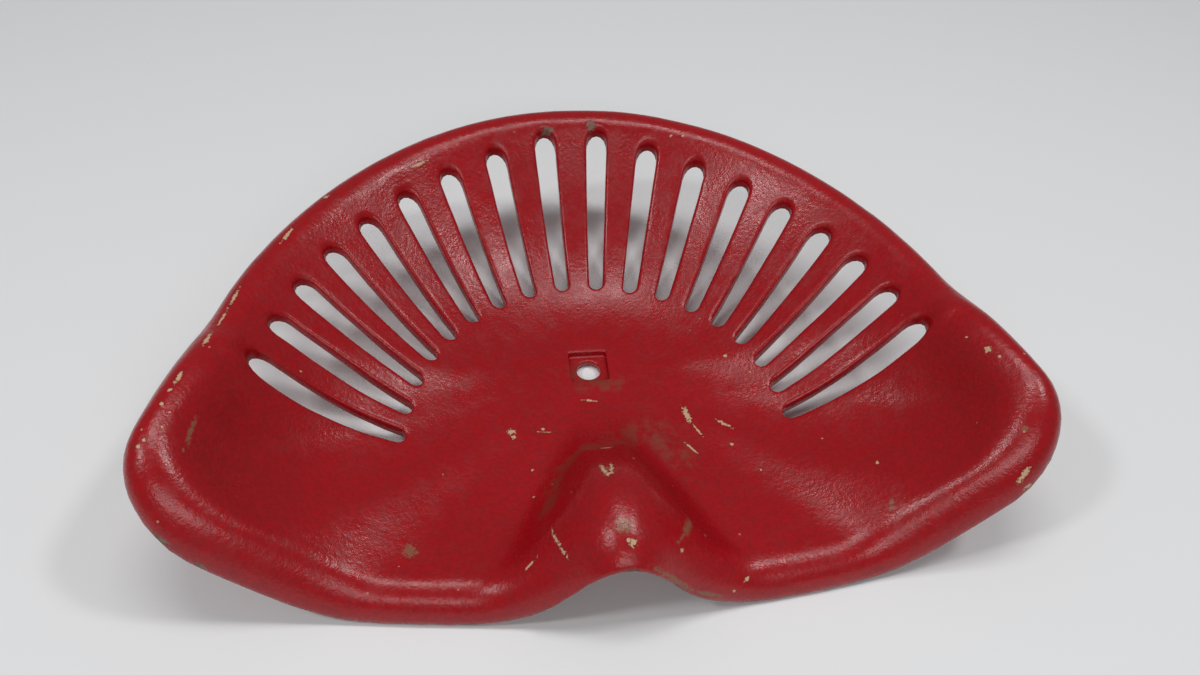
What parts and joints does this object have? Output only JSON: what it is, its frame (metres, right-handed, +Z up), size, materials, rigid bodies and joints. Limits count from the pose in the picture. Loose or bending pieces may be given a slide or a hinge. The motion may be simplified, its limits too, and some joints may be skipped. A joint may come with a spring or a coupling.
{
  "type": "tractor seat",
  "caption": "Cast-iron tractor or implement pan seat: dished, slotted back, rolled rim, arched front and one bolt hole in a flat pad.",
  "frame": {"origin": "on the bolt axis, level with the underside of the bolt pad", "axes": "+Z up along the bolt axis, +Y to the back of the seat, X across it"},
  "size_m": [0.4398, 0.316, 0.0898],
  "materials": {
    "red_enamel": "worn satin-gloss red enamel on cast iron"
  },
  "bodies": {
    "root": {"seat_casting": "red_enamel"}
  },
  "joints": []
}
